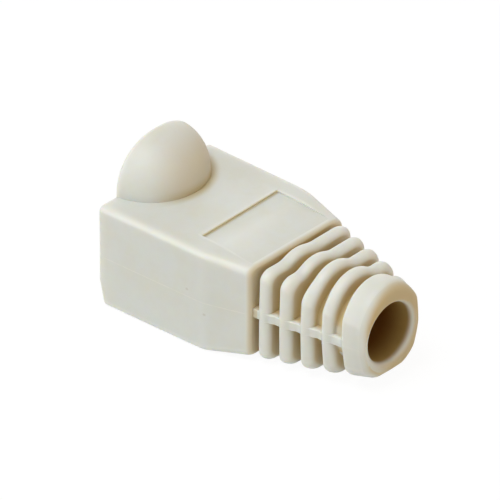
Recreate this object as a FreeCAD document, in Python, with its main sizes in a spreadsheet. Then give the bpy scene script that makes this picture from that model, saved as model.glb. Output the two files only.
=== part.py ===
import FreeCAD, Part
import math
import os
import Sketcher

# One-piece strain relief boot for an eight-way modular plug, moulded in soft plastic.
# Frame: X runs from the plug end to the cable end, Y across, Z up.
# The origin lies under the middle of the boot, on the flat bottom of the housing.
# Stations are measured along X from the plug end. The parting plane of the mould lies
# half way up the housing, and the heights of the bore and the tube are measured from it.

doc = FreeCAD.newDocument("StrainReliefBoot")

sizes = [
    ("overallLength", 27.0),
    # housing that takes the plug
    ("housingWidth", 14.0),
    ("housingHeight", 9.7),
    ("bendStation", 11.7),
    ("bendWidth", 13.55),
    ("housingLength", 15.45),
    ("housingEndWidth", 11.8),
    ("roofDrop", 0.4),
    ("floorRise", 0.47),
    ("housingCorner", 0.7),
    ("housingEndCorner", 1.1),
    ("housingEndRound", 0.7),
    ("slantDepth", 0.55),
    ("slantHeight", 2.4),
    # pocket for the plug
    ("sideWall", 1.1),
    ("floorWall", 0.75),
    ("roofWall", 0.75),
    ("pocketDepth", 10.5),
    ("pocketCorner", 0.4),
    # domed cover over the plug's latch
    ("domeRadius", 4.85),
    ("domeStraight", 1.3),
    ("domeNose", 3.5),
    ("domeWall", 0.85),
    # shallow label field on the roof
    ("labelStation", 9.8),
    ("labelLength", 5.0),
    ("labelWidth", 9.3),
    ("labelDepth", 0.26),
    # ribbed tail, its steps measured inwards from the housing
    ("tailSideStep", 0.45),
    ("tailTopStep", 0.48),
    ("tailFloorStep", 0.1),
    ("tailUpperCorner", 1.0),
    ("tailLowerCorner", 1.6),
    ("tailEndWidth", 6.5),
    ("tailEndTopStep", 1.4),
    ("tailEndFloorStep", 1.3),
    ("tailEndUpperCorner", 1.9),
    ("tailEndLowerCorner", 2.3),
    ("ribCount", 4),
    ("collarLength", 2.55),
    ("grooveWidth", 0.88),
    ("coreRadius", 3.55),
    ("coreSeat", 0.5),
    ("webThickness", 0.8),
    ("webSeat", 0.6),
    # round tube that stands out along the tops of the ribs and forms the collar
    ("tubeRadius", 3.3),
    ("tubeRise", 1.7),
    ("collarRound", 1.1),
    # cable bore, with a throat that opens towards the plug
    ("boreRadius", 2.75),
    ("boreRise", 0.26),
    ("throatRadius", 3.6),
    ("throatLength", 3.6),
    ("mouthBevel", 0.3),
]
sheet = doc.addObject("Spreadsheet::Sheet", "Sizes")
for row, (alias, value) in enumerate(sizes, start=1):
    sheet.set(f"A{row}", alias)
    sheet.set(f"B{row}", str(value))
    sheet.setAlias(f"B{row}", alias)
doc.recompute()

body = doc.addObject("PartDesign::Body", "Boot")
body.Label = "boot"
body.setExpression("Placement.Base.x", "-Sizes.overallLength / 2")

startPoint, endPoint, centrePoint = range(1, 4)
origin = (-1, startPoint)
samePlace = 1e-4


def size(alias):
    return float(sheet.get(alias))


# Lays a sketch or a primitive on one of the body's origin planes, a distance off it.
def attach(item, role, offset):
    plane = next(feature for feature in body.Origin.OriginFeatures if feature.Role == role)
    item.AttachmentSupport = [(plane, "")]
    item.MapMode = "FlatFace"
    item.setExpression("AttachmentOffset.Base.z", offset)


def addSketch(name, role, offset="0"):
    sketch = body.newObject("Sketcher::SketchObject", name)
    attach(sketch, role, offset)
    return sketch


def addLine(sketch, start, end):
    return sketch.addGeometry(Part.LineSegment(FreeCAD.Vector(*start), FreeCAD.Vector(*end)))


def addArc(sketch, centre, radius, fromAngle, toAngle):
    circle = Part.Circle(FreeCAD.Vector(*centre), FreeCAD.Vector(0, 0, 1), radius)
    return sketch.addGeometry(Part.ArcOfCircle(circle, fromAngle, toAngle))


def constrain(sketch, *constraint):
    return sketch.addConstraint(Sketcher.Constraint(*constraint))


# A constraint whose value is an expression in the sheet's sizes.
def bind(sketch, name, expression, *constraint):
    sketch.renameConstraint(constrain(sketch, *constraint), name)
    sketch.setExpression("Constraints." + name, expression)


def bindPoint(sketch, name, across, up, geometry, point, place):
    bind(sketch, name + "Across", across, "DistanceX", *origin, geometry, point, place[0])
    bind(sketch, name + "Up", up, "DistanceY", *origin, geometry, point, place[1])


# A closed outline of straight lines, each corner given by two expressions. The corners
# start on a wide circle, and the constraints pull them into place.
def addOutline(sketch, corners, name="corner"):
    turn = 2 * math.pi / len(corners)
    spread = size("overallLength")
    places = [(spread * math.cos(turn * i), spread * math.sin(turn * i)) for i in range(len(corners))]
    lines = [addLine(sketch, here, after) for here, after in zip(places, places[1:] + places[:1])]
    for here, after in zip(lines, lines[1:] + lines[:1]):
        constrain(sketch, "Coincident", here, endPoint, after, startPoint)
    for i, (across, up) in enumerate(corners):
        bindPoint(sketch, f"{name}{i}", across, up, lines[i], startPoint, places[i])


def addCircle(sketch, across, up, radius):
    place = (0, size("housingHeight") / 2)
    circle = Part.Circle(FreeCAD.Vector(*place), FreeCAD.Vector(0, 0, 1), size("tubeRadius"))
    ring = sketch.addGeometry(circle)
    bindPoint(sketch, "centre", across, up, ring, centrePoint, place)
    bind(sketch, "radius", radius, "Radius", ring, size("tubeRadius"))


# A section across the boot: a rectangle between two levels, with rounded corners.
def addSection(name, station, width, low, high, lowCorner, highCorner):
    sketch = addSketch(name, "YZ_Plane", station)
    half, top, radius = size("tubeRadius"), size("housingHeight"), size("housingCorner")
    quarter = math.pi / 2
    centres = [(half - radius, top - radius), (radius - half, top - radius),
               (radius - half, radius), (half - radius, radius)]
    starts = [(half, radius), (half - radius, top), (-half, top - radius), (radius - half, 0)]
    ends = [(half, top - radius), (radius - half, top), (-half, radius), (half - radius, 0)]
    loop = []
    for number, (start, end, centre) in enumerate(zip(starts, ends, centres)):
        loop.append(addLine(sketch, start, end))
        loop.append(addArc(sketch, centre, radius, number * quarter, (number + 1) * quarter))
    for here, after in zip(loop, loop[1:] + loop[:1]):
        constrain(sketch, "Tangent", here, endPoint, after, startPoint)
    right, upperRight, roof, upperLeft, left, lowerLeft, floor, lowerRight = loop
    for kind, lines in (("Horizontal", (roof, floor)), ("Vertical", (right, left))):
        for line in lines:
            constrain(sketch, kind, line)
    constrain(sketch, "Equal", upperRight, upperLeft)
    constrain(sketch, "Equal", lowerRight, lowerLeft)
    bind(sketch, "right", width + " / 2", "DistanceX", *origin, right, startPoint, half)
    bind(sketch, "left", f"-{width} / 2", "DistanceX", *origin, left, startPoint, -half)
    bind(sketch, "high", high, "DistanceY", *origin, roof, startPoint, top)
    bind(sketch, "low", low, "DistanceY", *origin, floor, startPoint, 0)
    bind(sketch, "highCorner", highCorner, "Radius", upperRight, radius)
    bind(sketch, "lowCorner", lowCorner, "Radius", lowerRight, radius)
    return sketch


# A setting that is a text holds an expression in the sheet's sizes.
def addFeature(kind, name, **settings):
    feature = body.newObject("PartDesign::" + kind, name)
    feature.Refine = True
    for key, value in settings.items():
        if isinstance(value, str):
            feature.setExpression(key, value)
        else:
            setattr(feature, key, value)
    body.Tip = feature
    doc.recompute()
    return feature


# The edges of the last feature that lie in a plane across the boot.
def edgesAt(station):
    names = []
    for number, edge in enumerate(body.Tip.Shape.Edges, start=1):
        middle = edge.valueAt((edge.FirstParameter + edge.LastParameter) / 2)
        points = [vertex.Point for vertex in edge.Vertexes] + [middle]
        if all(abs(point.x - station) < samePlace for point in points):
            names.append(f"Edge{number}")
    return names


def roundEdges(name, station, radius):
    addFeature("Fillet", name, Base=(body.Tip, edgesAt(size(station))), Radius=radius)


# ---- housing

parting = "Sizes.housingHeight / 2"
corner = "Sizes.housingCorner"
endCorner = "Sizes.housingEndCorner"
plugEnd = addSection("PlugEndSection", "0", "Sizes.housingWidth",
                     "0", "Sizes.housingHeight", corner, corner)
bend = addSection("BendSection", "Sizes.bendStation", "Sizes.bendWidth",
                  "0", "Sizes.housingHeight", corner, corner)
housingEnd = addSection("HousingEndSection", "Sizes.housingLength", "Sizes.housingEndWidth",
                        "Sizes.floorRise", "Sizes.housingHeight - Sizes.roofDrop", endCorner, endCorner)
addFeature("AdditiveLoft", "Housing", Profile=housingEnd, Sections=[bend, plugEnd], Ruled=True)

roundEdges("HousingEndRound", "housingLength", "Sizes.housingEndRound")

# The lower part of the plug end slants back.
slant = addSketch("PlugEndSlant", "XZ_Plane")
addOutline(slant, [("Sizes.slantDepth", "0"),
                   ("0", "Sizes.slantHeight"),
                   ("-Sizes.slantDepth", "Sizes.slantHeight"),
                   ("-Sizes.slantDepth", "-Sizes.slantHeight"),
                   ("Sizes.slantDepth", "-Sizes.slantHeight")])
addFeature("Pocket", "PlugEndSlantCut", Profile=slant, Midplane=True, Length="Sizes.housingWidth * 2")

# ---- ribbed tail

boreHeight = f"({parting} + Sizes.boreRise)"
core = addSketch("CoreCircle", "YZ_Plane", "Sizes.housingLength")
addCircle(core, "0", boreHeight, "Sizes.coreRadius")
firstRib = "(Sizes.housingLength + Sizes.grooveWidth)"
collarStart = "(Sizes.overallLength - Sizes.collarLength)"
ribPitch = f"(({collarStart} - {firstRib}) / Sizes.ribCount)"
addFeature("Pad", "Core", Profile=core,
           Length=f"{collarStart} + Sizes.coreSeat - Sizes.housingLength")

tailWidth = "(Sizes.housingEndWidth - 2 * Sizes.tailSideStep)"
tailRoot = addSection("TailRootSection", firstRib, tailWidth,
                      "Sizes.tailFloorStep", "Sizes.housingHeight - Sizes.tailTopStep",
                      "Sizes.tailLowerCorner", "Sizes.tailUpperCorner")
tailEnd = addSection("TailEndSection", "Sizes.overallLength", "Sizes.tailEndWidth",
                     "Sizes.tailEndFloorStep", "Sizes.housingHeight - Sizes.tailEndTopStep",
                     "Sizes.tailEndLowerCorner", "Sizes.tailEndUpperCorner")
addFeature("AdditiveLoft", "Tail", Profile=tailRoot, Sections=[tailEnd], Ruled=True)

roundEdges("TailEndRound", "overallLength", "Sizes.collarRound")

# The tube is turned about its own axis, with the same rounding at its end.
tube = addSketch("TubeProfile", "XZ_Plane")
length, radius, rounding = size("overallLength"), size("tubeRadius"), size("collarRound")
level = size("housingHeight") / 2 + size("tubeRise")
tubeAxis = addLine(tube, (length, level), (size("housingLength"), level))
tubeStart = addLine(tube, (size("housingLength"), level), (size("housingLength"), level + radius))
tubeTop = addLine(tube, (size("housingLength"), level + radius), (length - rounding, level + radius))
tubeRound = addArc(tube, (length - rounding, level + radius - rounding), rounding, 0, math.pi / 2)
tubeEnd = addLine(tube, (length, level + radius - rounding), (length, level))
for constraint in (("Coincident", tubeAxis, endPoint, tubeStart, startPoint),
                   ("Coincident", tubeStart, endPoint, tubeTop, startPoint),
                   ("Tangent", tubeTop, endPoint, tubeRound, endPoint),
                   ("Tangent", tubeRound, startPoint, tubeEnd, startPoint),
                   ("Coincident", tubeEnd, endPoint, tubeAxis, startPoint),
                   ("Horizontal", tubeAxis), ("Horizontal", tubeTop),
                   ("Vertical", tubeStart), ("Vertical", tubeEnd)):
    constrain(tube, *constraint)
bindPoint(tube, "end", "Sizes.overallLength", f"{parting} + Sizes.tubeRise",
          tubeAxis, startPoint, (length, level))
bind(tube, "start", firstRib, "DistanceX", *origin, tubeStart, startPoint, size("housingLength"))
bind(tube, "radius", "Sizes.tubeRadius", "DistanceY", tubeStart, startPoint, tubeStart, endPoint, radius)
bind(tube, "round", "Sizes.collarRound", "Radius", tubeRound, rounding)
addFeature("Revolution", "Tube", Profile=tube, Angle="360", ReferenceAxis=(tube, ["Edge1"]))

groove = addSketch("GrooveOutline", "YZ_Plane", f"{firstRib} + {ribPitch} - Sizes.grooveWidth")
addOutline(groove, [("-Sizes.housingWidth", "-Sizes.housingWidth"),
                    ("Sizes.housingWidth", "-Sizes.housingWidth"),
                    ("Sizes.housingWidth", "Sizes.housingWidth * 2"),
                    ("-Sizes.housingWidth", "Sizes.housingWidth * 2")])
addCircle(groove, "0", boreHeight, "Sizes.coreRadius")
firstGroove = addFeature("Pocket", "FirstGroove", Profile=groove, Length="Sizes.grooveWidth", Reversed=True)
addFeature("LinearPattern", "Grooves", Originals=[firstGroove], Direction=(groove, ["N_Axis"]),
           Length=f"{ribPitch} * (Sizes.ribCount - 1)", Occurrences="Sizes.ribCount")

# Webs along both sides at the parting plane tie the housing, the ribs and the collar.
taper = f"({tailWidth} - Sizes.tailEndWidth) / (2 * (Sizes.overallLength - {firstRib}))"
webStart = "Sizes.housingLength - Sizes.webSeat"
webEnd = f"{collarStart} + Sizes.webSeat"
web = addSketch("WebPlan", "XY_Plane", parting)
webStartHalf = f"({tailWidth} / 2 + (Sizes.webSeat + Sizes.grooveWidth) * {taper})"
webEndHalf = f"(Sizes.tailEndWidth / 2 + (Sizes.collarLength - Sizes.webSeat) * {taper})"
for name, sign in (("left", ""), ("right", "-")):
    addOutline(web, [(webStart, f"{sign}{webStartHalf}"),
                     (webEnd, f"{sign}{webEndHalf}"),
                     (webEnd, f"{sign}(Sizes.coreRadius - Sizes.webSeat)"),
                     (webStart, f"{sign}(Sizes.coreRadius - Sizes.webSeat)")], name)
addFeature("Pad", "Webs", Profile=web, Midplane=True, Length="Sizes.webThickness")

# ---- latch dome and label field

roofLevel = "Sizes.housingHeight"


# Half an ellipsoid whose flat side faces the plug end, for the rounded end of the dome.
def addHalfEllipsoid(kind, name, inset):
    nose = body.newObject("PartDesign::" + kind, name)
    attach(nose, "XY_Plane", roofLevel)
    nose.setExpression("AttachmentOffset.Base.x", "Sizes.domeStraight")
    nose.AttachmentOffset.Rotation = FreeCAD.Rotation(FreeCAD.Vector(0, 0, 1), -90)
    nose.setExpression("Radius1", f"Sizes.domeRadius - {inset}")
    nose.setExpression("Radius2", f"Sizes.domeRadius - {inset}")
    nose.setExpression("Radius3", f"Sizes.domeNose - {inset}")
    nose.Angle3 = 180
    body.Tip = nose
    doc.recompute()


domeFront = addSketch("DomeFront", "YZ_Plane")
addCircle(domeFront, "0", roofLevel, "Sizes.domeRadius")
addFeature("Pad", "DomeStraight", Profile=domeFront, Length="Sizes.domeStraight")
addHalfEllipsoid("AdditiveEllipsoid", "DomeNose", "0")

label = addSketch("LabelOutline", "XY_Plane", roofLevel)
addOutline(label, [("Sizes.labelStation", "-Sizes.labelWidth / 2"),
                   ("Sizes.labelStation + Sizes.labelLength", "-Sizes.labelWidth / 2"),
                   ("Sizes.labelStation + Sizes.labelLength", "Sizes.labelWidth / 2"),
                   ("Sizes.labelStation", "Sizes.labelWidth / 2")])
addFeature("Pocket", "LabelField", Profile=label, Length="Sizes.labelDepth")

# ---- plug pocket, latch hollow and cable bore

pocket = addSection("PocketSection", "0", "(Sizes.housingWidth - 2 * Sizes.sideWall)",
                    "Sizes.floorWall", "Sizes.housingHeight - Sizes.roofWall",
                    "Sizes.pocketCorner", "Sizes.pocketCorner")
addFeature("Pocket", "PlugPocket", Profile=pocket, Length="Sizes.pocketDepth", Reversed=True)

hollowFront = addSketch("HollowFront", "YZ_Plane")
addCircle(hollowFront, "0", roofLevel, "Sizes.domeRadius - Sizes.domeWall")
addFeature("Pocket", "HollowStraight", Profile=hollowFront, Length="Sizes.domeStraight", Reversed=True)
addHalfEllipsoid("SubtractiveEllipsoid", "HollowNose", "Sizes.domeWall")

bore = addSketch("BoreProfile", "XZ_Plane")
addOutline(bore, [("Sizes.pocketDepth", boreHeight),
                  ("Sizes.pocketDepth", boreHeight + " + Sizes.throatRadius"),
                  ("Sizes.pocketDepth + Sizes.throatLength", boreHeight + " + Sizes.boreRadius"),
                  ("Sizes.overallLength - Sizes.mouthBevel", boreHeight + " + Sizes.boreRadius"),
                  ("Sizes.overallLength", boreHeight + " + Sizes.boreRadius + Sizes.mouthBevel"),
                  ("Sizes.overallLength", boreHeight)])
addFeature("Groove", "CableBore", Profile=bore, Angle="360", ReferenceAxis=(bore, ["Edge6"]))

faults = [item.Name for item in doc.Objects if "Invalid" in item.State or "Error" in item.State]
if faults:
    raise RuntimeError("features failed: " + ", ".join(faults))
if body.Shape.isNull() or not body.Shape.isValid() or len(body.Shape.Solids) != 1:
    raise RuntimeError("the boot is not one valid solid")
os.makedirs("parts", exist_ok=True)
body.Shape.exportStep(f"parts/{body.Label}.step")
bounds = body.Shape.BoundBox
print(f"boot {bounds.XLength:.2f} x {bounds.YLength:.2f} x {bounds.ZLength:.2f} mm")
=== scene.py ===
import math
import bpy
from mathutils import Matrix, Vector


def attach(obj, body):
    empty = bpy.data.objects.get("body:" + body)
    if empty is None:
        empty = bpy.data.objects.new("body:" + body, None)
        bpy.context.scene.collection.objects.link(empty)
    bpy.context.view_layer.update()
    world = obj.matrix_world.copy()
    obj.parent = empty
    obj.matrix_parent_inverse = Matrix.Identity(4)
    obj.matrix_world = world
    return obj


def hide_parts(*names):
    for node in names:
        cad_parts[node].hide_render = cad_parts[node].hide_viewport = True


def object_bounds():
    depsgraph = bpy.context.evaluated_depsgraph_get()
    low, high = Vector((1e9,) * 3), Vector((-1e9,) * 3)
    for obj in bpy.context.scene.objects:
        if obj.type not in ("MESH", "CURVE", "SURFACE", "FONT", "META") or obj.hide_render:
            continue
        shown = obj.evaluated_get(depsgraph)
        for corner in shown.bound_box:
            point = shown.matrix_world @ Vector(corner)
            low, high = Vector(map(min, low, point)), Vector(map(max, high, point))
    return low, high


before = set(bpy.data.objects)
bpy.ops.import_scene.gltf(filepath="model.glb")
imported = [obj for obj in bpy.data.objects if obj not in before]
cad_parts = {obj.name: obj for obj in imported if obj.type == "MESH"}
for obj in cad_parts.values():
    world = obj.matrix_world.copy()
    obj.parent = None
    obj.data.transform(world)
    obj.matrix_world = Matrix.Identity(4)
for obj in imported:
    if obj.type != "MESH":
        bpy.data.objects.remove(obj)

from types import SimpleNamespace

import bmesh
import bpy
import numpy as np
from mathutils import Vector

cadLow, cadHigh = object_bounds()
mm = 0.001

# Sizes below are in mm. Stations run along the boot from the plug end, heights from the parting
# plane, which halves the housing. Negative y is the side with the marks of the mould.

# An outline is an array of distances from the middle of the boot, one for each of these
# directions. They lie closest together beside the webs, and next at the corners.
angleSteps = ((0, 7, 0.35), (7, 60, 0.9), (60, 90, 1.5))  # from, to, step in degrees
leanSoftness = 0.12
nearNothing = 1e-6
mending = {"weld": 0.002 * mm, "sliver": 0.001 * mm, "cutSliver": 0.0005 * mm, "crackSides": 8}


def spreadAngles():
    quarter = np.concatenate([np.arange(*step) for step in angleSteps] + [[90]])
    upper = np.concatenate([quarter, 180 - quarter[-2::-1]])
    return np.radians(np.concatenate([upper, 180 + upper[1:-1]]))


angles = spreadAngles()
across, up = np.cos(angles), np.sin(angles)


def softMin(a, b, blend):
    near = np.maximum(blend - np.abs(a - b), 0) / blend
    return np.minimum(a, b) - near * near * blend / 4


def softMax(a, b, blend):
    return -softMin(-a, -b, blend)


def halves(upper, lower):
    return np.where(up >= 0, upper, lower)


def sides(marked, plain):  # the side with the mould's marks, and the other one
    return np.where(across < 0, marked, plain)


def boxOutline(half, level, rounding, lean=0):  # lean: how far a side leans in per mm of height
    height = np.sqrt(up ** 2 + leanSoftness ** 2) - leanSoftness
    side = half / (np.abs(across) + lean * height)
    return softMin(side, level / np.maximum(np.abs(up), nearNothing), rounding)


def circleOutline(radius, rise, offset=0):
    along = offset * across + rise * up
    return along + np.sqrt(radius ** 2 - offset ** 2 - rise ** 2 + along ** 2)


def ramp(station, start, end, low, high):
    return low + (high - low) * (station - start) / (end - start)


def closedSkin(name, rings):  # rings of equally many points, one face closing each end
    mesh = bmesh.new()
    rows = [[mesh.verts.new(point) for point in ring] for ring in rings]
    for here, after in zip(rows, rows[1:]):
        for i in range(len(here)):
            j = (i + 1) % len(here)
            mesh.faces.new((here[i], here[j], after[j], after[i]))
    mesh.faces.new(rows[0][::-1])
    mesh.faces.new(rows[-1])
    bmesh.ops.remove_doubles(mesh, verts=mesh.verts, dist=mending["weld"])
    bmesh.ops.dissolve_degenerate(mesh, edges=mesh.edges, dist=mending["sliver"])
    bmesh.ops.recalc_face_normals(mesh, faces=mesh.faces)
    data = bpy.data.meshes.new(name)
    mesh.to_mesh(data)
    mesh.free()
    piece = bpy.data.objects.new(name, data)
    bpy.context.scene.collection.objects.link(piece)
    return piece


def mendCut(data):  # takes slivers out and closes the cracks that a cut can leave
    mesh = bmesh.new()
    mesh.from_mesh(data)
    bmesh.ops.dissolve_degenerate(mesh, edges=mesh.edges, dist=mending["cutSliver"])
    cracks = [edge for edge in mesh.edges if edge.is_boundary]
    bmesh.ops.holes_fill(mesh, edges=cracks, sides=mending["crackSides"])
    mesh.to_mesh(data)
    mesh.free()


def combine(piece, tool, operation):  # union or difference, worked into the mesh
    step = piece.modifiers.new(operation, "BOOLEAN")
    step.operation, step.object, step.solver = operation, tool, "EXACT"
    bpy.context.view_layer.update()
    seen = piece.evaluated_get(bpy.context.evaluated_depsgraph_get())
    result = bpy.data.meshes.new_from_object(seen)
    piece.modifiers.clear()
    mendCut(result)
    spent, piece.data = piece.data, result
    bpy.data.meshes.remove(spent)
    bpy.data.objects.remove(tool)


def roundOver(radius, steps=6):  # steps of an outer rounding: how far along, how far inwards
    turns = np.linspace(0, math.pi / 2, steps)
    return [(radius * (1 - math.cos(turn)), radius * (1 - math.sin(turn))) for turn in turns]


body = {
    "parting": 4.85,
    "half": 7.0, "bend": 11.7, "length": 15.88,
    "bendHalf": (6.775, 6.95), "endHalf": (5.5, 6.45),  # marked side, plain side
    "level": 4.85, "roofDrop": 0.45, "floorRise": 0.52,
    "bendSoftness": 0.12, "levelSoftness": 0.05,
    "cornerLead": 1,
    "cornerRound": {  # up to the bend, at the rear
        "roof": (0.8, 1.2), "farRoof": (0.55, 2.6), "floor": (0.9, 1.3)},
    "frontRound": 0.3, "frontShares": (0.01, 0.5, 0.8, 0.9), "rearRound": 0.42, "rearSteps": 9,
    "stations": (1, 2.5, 4, 6, 8, 9.1, 9.4, 10), "bendReach": 0.8, "bendRings": 9,
    "lastStation": 13.4,
    "slantDepth": 0.55, "slantTop": -2.45,
}
tail = {
    "start": 16.46, "end": 27.0, "ribs": 4, "pitch": 2.025, "ribWidth": 1.15,
    "tubeBlend": 0.35, "coreRadius": 3.35, "coreRise": 0.2, "coreBlend": 0.3,
    "grooveRun": 0.4, "flankRun": 0.1, "flankStep": 0.1,
    "webHalfThickness": 0.42, "webSetBack": 0.12, "webRound": 0.35,
    "ribEdge": (0.36, 0.62), "seam": 0.05,  # ribEdge: towards the plug, towards the cable
    "collarRound": 1.1, "collarSteps": 10, "collarShare": 0.55, "collarShares": (0.8, 0.5, 0.01),
}
ribs = {  # one value for each rib, and one for the collar
    "half": (5.15, 4.77, 4.37, 3.98, 3.62), "farHalf": (5.95, 5.45, 5.05, 4.6, 3.85),
    "roof": (4.25, 4.15, 4.0, 3.8, 3.6), "farRoof": (4.45, 4.4, 4.35, 4.2, 3.6),
    "floor": (4.5, 4.33, 4.22, 4.1, 3.75),
    "roofRound": (1.5, 1.8, 3.2, 3.4, 3.0), "farRoofRound": (2.0, 2.1, 2.3, 2.6, 3.0),
    "floorRound": (1.9, 1.9, 2, 2.2, 2.8),
    "roofLean": (0.05, 0.06, 0.09, 0.08, 0.05), "floorLean": (0, 0.02, 0.05, 0.12, 0.24),
    "tubeRadius": (3.3, 3.3, 3.35, 3.35, 3.5), "tubeRise": (1.45, 1.6, 1.72, 1.7, 1.5),
    "tubeOffset": (-0.5, -0.5, -0.5, -0.4, 0.0),
}
cavity = {
    "half": 5.9, "level": 4.1, "cornerRound": 0.45, "depth": 10.5, "rim": 0.2,
    "pocketStations": (4, 8), "throat": 3.6, "throatEnd": 14.1, "bore": 2.75, "boreRise": 0.26,
    "boreStations": (18, 22, 24.5), "mouthRound": 0.5, "mouthSteps": 9, "past": 1,
}


def housingOutline(station):
    def taper(start, middle, end, softness):
        return softMin(ramp(station, 0, body["bend"], start, middle),
                       ramp(station, body["bend"], body["length"], middle, end), softness)

    side = sides(*(taper(body["half"], bend, end, body["bendSoftness"])
                   for bend, end in zip(body["bendHalf"], body["endHalf"])))
    roof = taper(body["level"], body["level"], body["level"] - body["roofDrop"],
                 body["levelSoftness"])
    floor = taper(body["level"], body["level"], body["level"] - body["floorRise"],
                  body["levelSoftness"])
    behind = ramp(station, body["bend"] - body["cornerLead"], body["length"], 0, 1)
    behind = min(max(behind, 0), 1)
    corner = {name: ramp(behind, 0, 1, *sizes) for name, sizes in body["cornerRound"].items()}
    return boxOutline(side, halves(roof, floor),
                      halves(sides(corner["roof"], corner["farRoof"]), corner["floor"]))


def alongRibs(station):
    middles = [tail["start"] + number * tail["pitch"] + tail["ribWidth"] / 2
               for number in range(tail["ribs"])]
    middles.append((middles[-1] + tail["pitch"] + tail["end"]) / 2)
    return {key: np.interp(station, middles, values) for key, values in ribs.items()}


def ribOutline(station):
    at = alongRibs(station)
    plain = boxOutline(sides(at["half"], at["farHalf"]),
                       halves(sides(at["roof"], at["farRoof"]), at["floor"]),
                       halves(sides(at["roofRound"], at["farRoofRound"]), at["floorRound"]),
                       halves(at["roofLean"], at["floorLean"]))
    tube = circleOutline(at["tubeRadius"], at["tubeRise"], at["tubeOffset"])
    return softMax(plain, tube, tail["tubeBlend"])


def coreOutline(station, step=0):
    at = alongRibs(station)
    web = boxOutline(sides(at["half"], at["farHalf"]) - tail["webSetBack"],
                     tail["webHalfThickness"], tail["webRound"])
    return softMax(circleOutline(tail["coreRadius"], tail["coreRise"]) + step, web,
                   tail["coreBlend"])


def ribEdge(start, side):  # the rounded edge of a rib, side 1 at its plug end and -1 at the other
    edge = [(start + side * along, inset) for along, inset in roundOver(tail["ribEdge"][side < 0])]
    return [(station, softMax(ribOutline(station) - inset, coreOutline(station), tail["seam"]))
            for station, inset in edge[::side]]


def collarEnd():  # rounded as far as the wall round the bore leaves room
    bore = circleOutline(cavity["bore"], cavity["boreRise"])
    wall = (ribOutline(tail["end"]) - bore) * tail["collarShare"]
    reach = np.minimum(wall, tail["collarRound"]) / tail["collarRound"]
    edge = roundOver(tail["collarRound"], tail["collarSteps"])[::-1]
    rings = [(tail["end"] - along, ribOutline(tail["end"] - along) - inset * reach)
             for along, inset in edge]
    return rings + [(tail["end"], rings[-1][1] * share) for share in tail["collarShares"]]


def bodyRings():  # pairs of a station and an outline
    front = housingOutline(0) - body["frontRound"]
    rings = [(0, front * share) for share in body["frontShares"]]
    rings += [(along, housingOutline(along) - inset)
              for along, inset in roundOver(body["frontRound"])]
    bend = body["bend"] + body["bendReach"] * np.linspace(-1, 1, body["bendRings"])
    rings += [(station, housingOutline(station))
              for station in (*body["stations"], *bend, body["lastStation"])]
    rings += [(body["length"] - along, housingOutline(body["length"] - along) - inset)
              for along, inset in roundOver(body["rearRound"], body["rearSteps"])[::-1]]
    rings.append((body["length"], coreOutline(body["length"], tail["flankStep"])))

    for number in range(tail["ribs"]):
        start = tail["start"] + number * tail["pitch"]
        end = start + tail["ribWidth"]
        rings += [(start - tail["grooveRun"], coreOutline(start)),
                  (start - tail["flankRun"], coreOutline(start)),
                  (start, coreOutline(start, tail["flankStep"]))]
        rings += ribEdge(start, 1) + ribEdge(end, -1)
        rings += [(end, coreOutline(end, tail["flankStep"])),
                  (end + tail["flankRun"], coreOutline(end))]
    start = tail["start"] + tail["ribs"] * tail["pitch"]
    rings += [(start - tail["flankRun"], coreOutline(start)),
              (start, coreOutline(start, tail["flankStep"]))]
    return rings + ribEdge(start, 1) + collarEnd()


def place(rings):  # outlines to points in metres, the lower plug end slanting back
    placed = []
    for station, outline in rings:
        y, z = outline * across, outline * up
        slant = body["slantDepth"] * np.clip(
            (body["slantTop"] - z) / (body["slantTop"] + body["level"]), 0, 1)
        x = station + slant * max(1 - max(station, 0) / body["bend"], 0)
        placed.append(np.stack([cadLow.x + x * mm, y * mm,
                                cadLow.z + (z + body["parting"]) * mm], axis=1))
    return placed


boot = closedSkin("mouldedBoot", place(bodyRings()))
print("body and tail moulded:", len(boot.data.polygons), "faces")

label = {
    "low": -4.55, "high": 5.1, "skew": -0.018,  # skew: how the step leans along the boot
    "depths": ((9.6, 0.19), (11.7, 0.19), (15.38, 0.01)),  # station and depth
}


def labelRings():
    rings = []
    for station, depth in label["depths"]:
        roof = housingOutline(station)[np.argmax(up)]
        floor = cadLow.z + (body["parting"] + roof - depth) * mm
        low, high = label["low"], label["high"]
        skew = 0 if rings else label["skew"]
        rings.append([(cadLow.x + (station + skew * y) * mm, y * mm, level)
                      for y, level in ((low, floor), (high, floor), (high, floor + mm),
                                       (low, floor + mm))])
    return rings


combine(boot, closedSkin("labelCut", labelRings()), "DIFFERENCE")
print("label field cut:", len(boot.data.polygons), "faces")

dome = {
    "half": 5.0, "height": 4.72, "squareness": 2.25, "middle": 0.2, "start": -0.19, "nose": 4.78,
    "wall": 0.85, "rim": 0.15, "topRim": 0.3, "afterRim": 0.1, "tip": 2e-5,
    "turns": 128, "rings": 40, "rimSteps": 6, "centreShare": 0.5, "past": 1,
}


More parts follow.
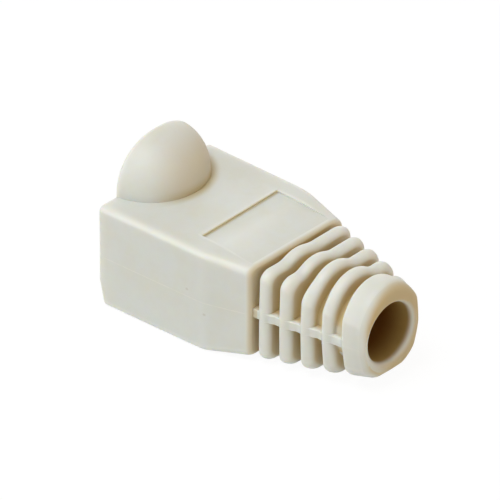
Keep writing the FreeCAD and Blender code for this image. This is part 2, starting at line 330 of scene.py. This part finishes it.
def domeRings(inset, outwards):  # half of an egg, cut off at the plug end
    turns = np.linspace(0, 2 * math.pi, dome["turns"], endpoint=False)
    nose, rim, power = dome["nose"] - inset, dome["rim"], dome["squareness"]
    outline = (np.abs(np.cos(turns) / (dome["half"] - inset)) ** power
               + np.abs(np.sin(turns) / (dome["height"] - inset)) ** power) ** (-1 / power)

    def reachAt(x):
        return outline * np.sqrt(np.clip(1 - ((x - dome["start"]) / nose) ** 2, dome["tip"], 1))

    if outwards:  # a cutter that widens towards the opening
        profile = [(-dome["past"], outline + rim), (0, outline + rim)]
        profile += [(along, reachAt(along) + inwards)
                    for along, inwards in roundOver(rim, dome["rimSteps"])[1:]]
    else:
        edge = rim + (dome["topRim"] - rim) * np.maximum(np.sin(turns), 0)
        profile = [(0, outline * dome["centreShare"])]
        profile += [(edge * along, reachAt(edge * along) - edge * inwards)
                    for along, inwards in roundOver(1, dome["rimSteps"])]
    first = math.asin((dome["topRim"] + dome["afterRim"] - dome["start"]) / nose)
    sweep = np.linspace(first, math.pi / 2, dome["rings"])
    profile += [(x, reachAt(x)) for x in dome["start"] + nose * np.sin(sweep)]
    level = body["parting"] + body["level"]
    return [np.stack([np.full(len(turns), cadLow.x + x * mm),
                      (dome["middle"] + reach * np.cos(turns)) * mm,
                      cadLow.z + (level + reach * np.sin(turns)) * mm], axis=1)
            for x, reach in profile]


combine(boot, closedSkin("domeCover", domeRings(0, False)), "UNION")
print("latch dome joined:", len(boot.data.polygons), "faces")


def cavityRings():
    pocket = boxOutline(cavity["half"], cavity["level"], cavity["cornerRound"])
    rings = [(-cavity["past"], pocket + cavity["rim"])]
    rings += [(along, pocket + inset) for along, inset in roundOver(cavity["rim"])]
    rings += [(station, pocket) for station in (*cavity["pocketStations"], cavity["depth"])]
    rings.append((cavity["depth"], circleOutline(cavity["throat"], cavity["boreRise"])))
    bore = circleOutline(cavity["bore"], cavity["boreRise"])
    rings += [(station, bore) for station in (cavity["throatEnd"], *cavity["boreStations"])]
    rings += [(tail["end"] - along, bore + inset)
              for along, inset in roundOver(cavity["mouthRound"], cavity["mouthSteps"])[::-1]]
    rings.append((tail["end"] + cavity["past"], bore + cavity["mouthRound"]))
    return rings


combine(boot, closedSkin("plugCavity", place(cavityRings())), "DIFFERENCE")
combine(boot, closedSkin("latchHollow", domeRings(dome["wall"], True)), "DIFFERENCE")
print("pocket, hollow and bore cut:", len(boot.data.polygons), "faces")

# Depths in mm, sharpness in 1/mm.
shade = {
    "slice": 0.25, "slack": 0.001, "reach": 0.9, "firstGap": 0.2, "webMargin": 0.05,
    "endMargin": 0.01, "sharpest": 1.2, "smoothing": 2, "shortest": 1e-4, "hardAngle": 32,
}


def readVectors(name):
    values = np.empty(len(boot.data.vertices) * 3)
    boot.data.vertices.foreach_get(name, values)
    return values.reshape(-1, 3)


def storeValues(name, values):
    boot.data.attributes.new(name, "FLOAT", "POINT").data.foreach_set("value", values)


# The depth stored here drives the painted shade in the grooves.
def markGrooves():  # stores how deep each point lies between the ribs, from 0 to 1
    x, y, z = readVectors("co").T / mm
    station, z = x - cadLow.x / mm, z - cadLow.z / mm - body["parting"]
    reach, turn = np.hypot(y, z), np.mod(np.arctan2(z, y), 2 * math.pi)
    depth = np.zeros(len(station))
    wholeTurn = np.append(angles, 2 * math.pi)
    for middle in np.arange(body["length"], tail["end"], shade["slice"]):
        near = np.abs(station - middle) <= shade["slice"] / 2 + shade["slack"]
        rim = ribOutline(max(middle, tail["start"]))
        outer = np.interp(turn[near], wholeTurn, np.append(rim, rim[0]))
        gap = shade["firstGap"] if middle < tail["start"] else 0
        isWeb = np.abs(z[near]) < tail["webHalfThickness"] + shade["webMargin"]
        depth[near] = np.clip((outer + gap * ~isWeb - reach[near]) / shade["reach"], 0, 1)
    isHousing = station < body["length"] - shade["endMargin"]
    isBore = reach < cavity["bore"] + cavity["mouthRound"]
    depth[isHousing | isBore] = 0
    storeValues("grooveDepth", depth)


# The ridge value stored here drives the painted highlights on the edges.
def markRidges():  # stores how sharply the skin turns outwards at each point, from 0 to 1
    points, normals = readVectors("co"), readVectors("normal")
    count = len(points)
    ends = np.empty(len(boot.data.edges) * 2, dtype=int)
    boot.data.edges.foreach_get("vertices", ends)
    ends = ends.reshape(-1, 2)
    along = np.diff(points[ends] / mm, axis=1)[:, 0]
    turned = np.diff(normals[ends], axis=1)[:, 0]
    squares = np.maximum(np.sum(along * along, axis=1), shade["shortest"])
    bend = np.sum(along * turned, axis=1) / squares
    share = np.maximum(np.bincount(ends.ravel(), minlength=count), 1)
    ridge = np.bincount(ends.ravel(), np.repeat(bend, 2), count) / share
    for _ in range(shade["smoothing"]):
        nearby = np.bincount(ends.ravel(), ridge[ends[:, ::-1].ravel()], count)
        ridge = (ridge + nearby / share) / 2
    storeValues("ridge", np.clip(ridge / shade["sharpest"], 0, 1))


markGrooves()
markRidges()
boot.data.polygons.foreach_set("use_smooth", [True] * len(boot.data.polygons))
boot.data.set_sharp_from_angle(angle=math.radians(shade["hardAngle"]))
print("grooves marked:", sum(len(face.vertices) - 2 for face in boot.data.polygons), "triangles")


class Graph:  # the nodes of one material or world
    def __init__(self, owner):
        owner.use_nodes = True
        self.tree = owner.node_tree
        self.tree.nodes.clear()

    def add(self, kind, settings, values, output=0):
        node = self.tree.nodes.new(kind)
        for name, value in settings.items():
            setattr(node, name, value)
        for name, value in values.items():
            if isinstance(value, Wire):
                self.tree.links.new(value.socket, node.inputs[name])
            else:
                node.inputs[name].default_value = value
        return Wire(self, node.outputs[output]) if len(node.outputs) else node


class Wire:  # a node's output that takes part in sums
    def __init__(self, graph, socket):
        self.graph, self.socket = graph, socket

    def maths(self, operation, *values):
        return self.graph.add("ShaderNodeMath", {"operation": operation}, dict(enumerate(values)))

    def __add__(self, other): return self.maths("ADD", self, other)
    def __radd__(self, other): return self.maths("ADD", other, self)
    def __sub__(self, other): return self.maths("SUBTRACT", self, other)
    def __rsub__(self, other): return self.maths("SUBTRACT", other, self)
    def __mul__(self, other): return self.maths("MULTIPLY", self, other)
    def __rmul__(self, other): return self.maths("MULTIPLY", other, self)
    def __pow__(self, other): return self.maths("POWER", self, other)
    def __gt__(self, other): return self.maths("GREATER_THAN", self, other)
    def __lt__(self, other): return self.maths("LESS_THAN", self, other)
    def __abs__(self): return self.maths("ABSOLUTE", self)

    def between(self, low, high):  # 0 at low, 1 at high, smooth in between
        return self.graph.add("ShaderNodeMapRange", {"interpolation_type": "SMOOTHSTEP"},
                              {"Value": self, "From Min": low, "From Max": high})

    def tint(self, base, colour):  # from base to colour as this goes from 0 to 1
        return self.graph.add("ShaderNodeMix", {"data_type": "RGBA"}, {0: self, 6: base, 7: colour},
                              output=2)


vinyl = {
    "ivory": (0.67, 0.69, 0.665, 1), "yellowed": (0.655, 0.66, 0.59, 1),
    "cloud": {"scale": 0.32, "detail": 3, "roughness": 0.55, "span": (0.35, 0.7), "share": 0.6,
              "polish": 0.4},
    "mottle": {"scale": 1.7, "detail": 5, "roughness": 0.65, "span": (0.4, 0.75), "share": 0.24,
               "polish": 0.6},
    "line": {"width": 0.09, "waver": 0.05, "start": 0.6, "tint": 0.6,
             "colour": (0.78, 0.77, 0.71, 1)},
    # painted shade in the grooves between the ribs
    "groove": {"span": (0.12, 1.05), "tint": 0.9, "rearShade": 0.5, "colour": (0.6, 0.45, 0.19, 1)},
    # painted highlight on the outward edges
    "edge": {"paintedHighlight": 0.5, "colour": (0.84, 0.85, 0.82, 1)},
    # painted shade in the crease at the foot of the dome, and along the label step
    "creaseShade": {"width": 1.0, "along": 0.22, "across": 0.12, "less": 0.25, "span": (-0.1, 1),
               "tint": 0.85, "colour": (0.5, 0.4, 0.18, 1)},
    # painted shade along the front step of the label field
    "step": {"width": 0.26, "behind": 0.05, "above": 0.02, "below": -0.5, "tint": 0.6},
    "facingShade": {  # painted shade on the skin that faces the tail and the plain side
        "along": 0.9, "across": 0.35, "span": (0.25, 0.95), "tint": 0.55, "lessOnRibs": 0.8,
        "collar": 1.5, "collarSpan": (-3.2, 0.6), "moreOnCollar": 1.8,
        "colour": (0.56, 0.45, 0.26, 1)},
    # painted shade inside the bore and the plug pocket, darker further in
    "bore": {"margin": 0.2, "fades": (0.1, 0.8, 3.4),
             "rim": (0.44, 0.3, 0.1, 1), "colour": (0.24, 0.1, 0.01, 1)},
    "pocket": {"margin": 0.05, "fade": 9, "colour": (0.42, 0.34, 0.22, 1)},
    "speck": {"cells": 0.42, "size": 0.045, "share": 0.5, "tint": 0.8,
              "colour": (0.2, 0.15, 0.08, 1)},
    "marks": {"spots": ((9.96, 0.71), (11.83, -1.12)), "size": 0.16, "core": 0.4, "stretch": 0.5,
              "side": -6, "tint": 0.5, "colour": (0.5, 0.48, 0.41, 1)},
    "roughness": (0.42, 0.56),
    "grain": {"scale": 5.5, "detail": 4, "roughness": 0.6, "height": 0.3},
    "waves": {"scale": 0.55, "detail": 2, "roughness": 0.55, "height": 1.0},
    "relief": {"line": 0.25, "speck": 0.3, "strength": 0.22, "height": 0.03 * mm},
    "scatter": 0.6, "scatterRadius": (1.0, 0.7, 0.38), "scatterScale": 1.3 * mm,
}


def noise(graph, place, look):
    return graph.add("ShaderNodeTexNoise", {}, {
        "Vector": place, "Scale": look["scale"], "Detail": look["detail"],
        "Roughness": look["roughness"],
    })


def attribute(graph, name):
    return graph.add("ShaderNodeAttribute", {"attribute_name": name}, {}, output="Fac")


def whereabouts(graph):  # a point's station, y and z in mm, with what several layers share
    place = graph.add("ShaderNodeTexCoord", {}, {}, output="Object")
    place = graph.add("ShaderNodeVectorMath", {"operation": "SCALE"}, {0: place, "Scale": 1 / mm})
    x, y, z = (graph.add("ShaderNodeSeparateXYZ", {}, {0: place}, output=axis) for axis in "XYZ")
    z = z - (cadLow.z / mm + body["parting"])
    cloud, mottle = vinyl["cloud"], vinyl["mottle"]
    at = SimpleNamespace(place=place, station=x - cadLow.x / mm, y=y, z=z, lift=z - body["level"])
    at.cloud = noise(graph, place, cloud).between(*cloud["span"])
    at.mottle = noise(graph, place, mottle).between(*mottle["span"])
    return at


def layPlainSkin(at):
    yellowing = at.cloud * vinyl["cloud"]["share"] + at.mottle * vinyl["mottle"]["share"]
    return yellowing.tint(vinyl["ivory"], vinyl["yellowed"])


def partingLine(at):
    line = vinyl["line"]
    onLine = 1 - (abs(at.z) + at.mottle * line["waver"]).between(0, line["width"])
    return onLine * (at.station < body["length"] - body["rearRound"]) * (at.station > line["start"])


def layEdges(graph, at, colour):  # painted shade in the grooves and painted highlights on the edges
    groove, edge = vinyl["groove"], vinyl["edge"]
    deep = attribute(graph, "grooveDepth").between(*groove["span"])
    colour = (deep * groove["tint"]).tint(colour, groove["colour"])
    beforeMouth = at.station < tail["end"] - cavity["mouthRound"]
    return (attribute(graph, "ridge") * beforeMouth * edge["paintedHighlight"]).tint(colour, edge["colour"])


def layDomeCrease(at, colour):  # painted shade round the foot of the dome, on the side of the tail
    creaseShade = vinyl["creaseShade"]
    aside = at.y - dome["middle"]
    nose = (at.station - dome["start"]) * (dome["half"] / dome["nose"])
    reach = (aside * aside + at.lift * at.lift + nose * nose) ** 0.5
    foot = 1 - (abs(reach - dome["half"]) + abs(at.lift)).between(0, creaseShade["width"])
    turned = at.station * creaseShade["along"] + at.y * creaseShade["across"] - creaseShade["less"]
    return (foot * turned.between(*creaseShade["span"]) * creaseShade["tint"]).tint(colour, creaseShade["colour"])


# painted shade on the skin that faces away from the lamps, and at the rear edge of the housing
def layFacingShade(graph, at, colour):
    facingShade, groove = vinyl["facingShade"], vinyl["groove"]
    facing = graph.add("ShaderNodeTexCoord", {}, {}, output="Normal")
    along = graph.add("ShaderNodeSeparateXYZ", {}, {0: facing}, output="X")
    across = graph.add("ShaderNodeSeparateXYZ", {}, {0: facing}, output="Y")
    shadeShare = (along * facingShade["along"] + across * facingShade["across"]).between(*facingShade["span"])
    collar = tail["end"] - facingShade["collar"]
    onRibs = (at.station > dome["nose"]) * (at.station < collar)
    shadeShare = shadeShare * (1 - onRibs * facingShade["lessOnRibs"])
    moreThere = at.y.between(*facingShade["collarSpan"]) * facingShade["moreOnCollar"]
    shadeShare = shadeShare * (1 + (at.station > collar) * (moreThere - 1))
    colour = (shadeShare * facingShade["tint"]).tint(colour, facingShade["colour"])
    # painted shade on the rear edge of the housing, in the gap before the first rib
    rearEdge = at.station.between(body["length"] - body["rearRound"], body["length"])
    rearEdge = rearEdge * (at.station < tail["start"] - tail["flankRun"])
    return (rearEdge * groove["rearShade"]).tint(colour, groove["colour"])


# painted shade along the front step of the label field
def layLabelStep(at, colour):
    step, (front, _) = vinyl["step"], label["depths"][0]
    off = abs(at.station - label["skew"] * at.y - front - step["behind"])
    onRoof = (at.lift < step["above"]) * (at.lift > step["below"])
    onRoof = onRoof * (at.y > label["low"]) * (at.y < label["high"])
    onStep = (1 - off.between(0, step["width"])) * onRoof
    return (onStep * step["tint"]).tint(colour, vinyl["creaseShade"]["colour"])


def layInsideShade(at, colour):  # painted shade in the bore from its mouth inwards, and in the pocket
    bore, pocket = vinyl["bore"], vinyl["pocket"]
    rise = at.z - cavity["boreRise"]
    inBore = (at.y * at.y + rise * rise) ** 0.5 < cavity["bore"] + bore["margin"]
    inBore = inBore * (at.station > cavity["depth"])
    inwards, (outer, middle, deep) = tail["end"] - at.station, bore["fades"]
    colour = (inBore * inwards.between(outer, middle)).tint(colour, bore["rim"])
    colour = (inBore * inwards.between(middle, deep)).tint(colour, bore["colour"])
    inPocket = abs(at.y) < cavity["half"] + pocket["margin"]
    inPocket = inPocket * (abs(at.z) < cavity["level"] + pocket["margin"])
    inPocket = inPocket * (at.station < cavity["depth"] + pocket["margin"])
    return (inPocket * at.station.between(0, pocket["fade"])).tint(colour, pocket["colour"])


def dirtSpecks(graph, at):
    speck = vinyl["speck"]
    cells = {"Vector": at.place, "Scale": speck["cells"], "Randomness": 1.0}
    distance = graph.add("ShaderNodeTexVoronoi", {}, cells, output="Distance")
    chance = graph.add("ShaderNodeTexVoronoi", {}, cells, output="Color")
    chance = graph.add("ShaderNodeSeparateColor", {}, {0: chance})
    return (1 - distance.between(0, speck["size"])) * (chance < speck["share"])


def layMarks(at, colour):  # faint scuffs on the marked side
    marks = vinyl["marks"]
    for station, level in marks["spots"]:
        along, rise = at.station - station, at.z - level
        off = (along * along * marks["stretch"] + rise * rise) ** 0.5
        mark = 1 - off.between(marks["size"] * marks["core"], marks["size"])
        mark = mark * (at.y < marks["side"])
        colour = (mark * marks["tint"]).tint(colour, marks["colour"])
    return colour


def makeVinyl():
    material = bpy.data.materials.new("ivoryVinyl")
    graph = Graph(material)
    at = whereabouts(graph)
    line, speck, relief = partingLine(at), dirtSpecks(graph, at), vinyl["relief"]
    colour = (line * vinyl["line"]["tint"]).tint(layPlainSkin(at), vinyl["line"]["colour"])
    colour = layDomeCrease(at, layEdges(graph, at, colour))
    colour = layLabelStep(at, layFacingShade(graph, at, colour))
    colour = layInsideShade(at, colour)
    colour = (speck * vinyl["speck"]["tint"]).tint(colour, vinyl["speck"]["colour"])
    colour = layMarks(at, colour)

    smooth, rough = vinyl["roughness"]
    dullness = at.mottle * vinyl["mottle"]["polish"] + at.cloud * vinyl["cloud"]["polish"]
    grain, waves = vinyl["grain"], vinyl["waves"]
    height = noise(graph, at.place, grain) * grain["height"]
    height = height + noise(graph, at.place, waves) * waves["height"]
    height = height + line * relief["line"] - speck * relief["speck"]
    normal = graph.add("ShaderNodeBump", {}, {"Height": height, "Strength": relief["strength"],
                                              "Distance": relief["height"]})
    surface = graph.add("ShaderNodeBsdfPrincipled", {"subsurface_method": "RANDOM_WALK"}, {
        "Base Color": colour, "Roughness": dullness * (rough - smooth) + smooth, "Normal": normal,
        "Subsurface Weight": vinyl["scatter"], "Subsurface Radius": vinyl["scatterRadius"],
        "Subsurface Scale": vinyl["scatterScale"],
    })
    graph.add("ShaderNodeOutputMaterial", {}, {"Surface": surface})
    return material


boot.data.materials.clear()
boot.data.materials.append(makeVinyl())
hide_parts("boot")
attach(boot, "root")
print("vinyl applied")

studio = {
    "floorSize": 0.6, "floorGap": 0.02 * mm, "paper": (0.85, 0.85, 0.85, 1),
    "glow": 1.04, "glowShare": 0.9,
    "ambient": 0.44, "ambientColour": (1, 0.86, 0.68, 1), "backdrop": (1, 1, 1, 1),
    "lamps": (  # place, size, power, colour
        ((-0.15, -0.26, 0.13), 0.14, 0.18, (0.82, 0.92, 1)),
        ((0.0, -0.14, 0.34), 0.2, 0.7, (0.86, 0.94, 1)),
        ((-0.2, 0.25, 0.06), 0.2, 0.14, (0.9, 0.95, 1)),
        ((0.28, 0.02, 0.12), 0.2, 0.08, (1, 0.93, 0.8)),
    ),
    "lampAim": (0, 0, 0.005),
}


def makeFloor():
    size = studio["floorSize"]
    data = bpy.data.meshes.new("paleFloor")
    data.from_pydata([(-size, -size, 0), (size, -size, 0), (size, size, 0), (-size, size, 0)], [],
                     [(0, 1, 2, 3)])
    floor = bpy.data.objects.new("paleFloor", data)
    floor.location.z = cadLow.z - studio["floorGap"]
    bpy.context.scene.collection.objects.link(floor)
    material = bpy.data.materials.new("palePaper")
    graph = Graph(material)
    paper = graph.add("ShaderNodeBsdfDiffuse", {}, {"Color": studio["paper"]})
    glow = graph.add("ShaderNodeEmission", {}, {"Strength": studio["glow"]})
    seen = graph.add("ShaderNodeLightPath", {}, {}, output="Is Camera Ray")
    surface = graph.add("ShaderNodeMixShader", {}, {0: seen * studio["glowShare"], 1: paper,
                                                    2: glow})
    graph.add("ShaderNodeOutputMaterial", {}, {"Surface": surface})
    data.materials.append(material)


def makeWorld():
    world = bpy.data.worlds.new("studioAir")
    bpy.context.scene.world = world
    graph = Graph(world)
    seen = graph.add("ShaderNodeLightPath", {}, {}, output="Is Camera Ray")
    glossy = graph.add("ShaderNodeLightPath", {}, {}, output="Is Glossy Ray")
    direct = seen.maths("MAXIMUM", seen, glossy)
    colour = direct.tint(studio["ambientColour"], studio["backdrop"])
    strength = direct * (1 - studio["ambient"]) + studio["ambient"]
    air = graph.add("ShaderNodeBackground", {}, {"Color": colour, "Strength": strength})
    graph.add("ShaderNodeOutputWorld", {}, {"Surface": air})


def makeLamps():
    for number, (spot, size, power, colour) in enumerate(studio["lamps"]):
        data = bpy.data.lights.new(f"softbox{number}", "AREA")
        data.shape, data.size, data.energy, data.color = "DISK", size, power, colour
        lamp = bpy.data.objects.new(data.name, data)
        lamp.location = spot
        towards = Vector(studio["lampAim"]) - Vector(spot)
        lamp.rotation_euler = towards.to_track_quat("-Z", "Y").to_euler()
        bpy.context.scene.collection.objects.link(lamp)


camera = {"azimuth": 42.0, "elevation": 31.9, "aim": (-2.25, -0.28, 6.94), "width": 42.27,
          "distance": 1.0, "sensor": 36, "clip": (0.01, 10)}


def makeCamera():
    turn, tilt = math.radians(camera["azimuth"]), math.radians(camera["elevation"])
    back = Vector((math.sin(turn) * math.cos(tilt), -math.cos(turn) * math.cos(tilt),
                   math.sin(tilt)))
    data = bpy.data.cameras.new("viewCamera")
    data.sensor_width = camera["sensor"]
    data.lens = camera["sensor"] * camera["distance"] / (camera["width"] * mm)
    data.clip_start, data.clip_end = camera["clip"]
    viewer = bpy.data.objects.new("viewCamera", data)
    viewer.location = Vector(camera["aim"]) * mm + back * camera["distance"]
    viewer.rotation_mode = "QUATERNION"
    viewer.rotation_quaternion = (-back).to_track_quat("-Z", "Y")
    bpy.context.scene.collection.objects.link(viewer)
    bpy.context.scene.camera = viewer


makeFloor()
makeWorld()
makeLamps()
makeCamera()
bpy.context.scene.view_settings.view_transform = "Standard"
print("studio ready")
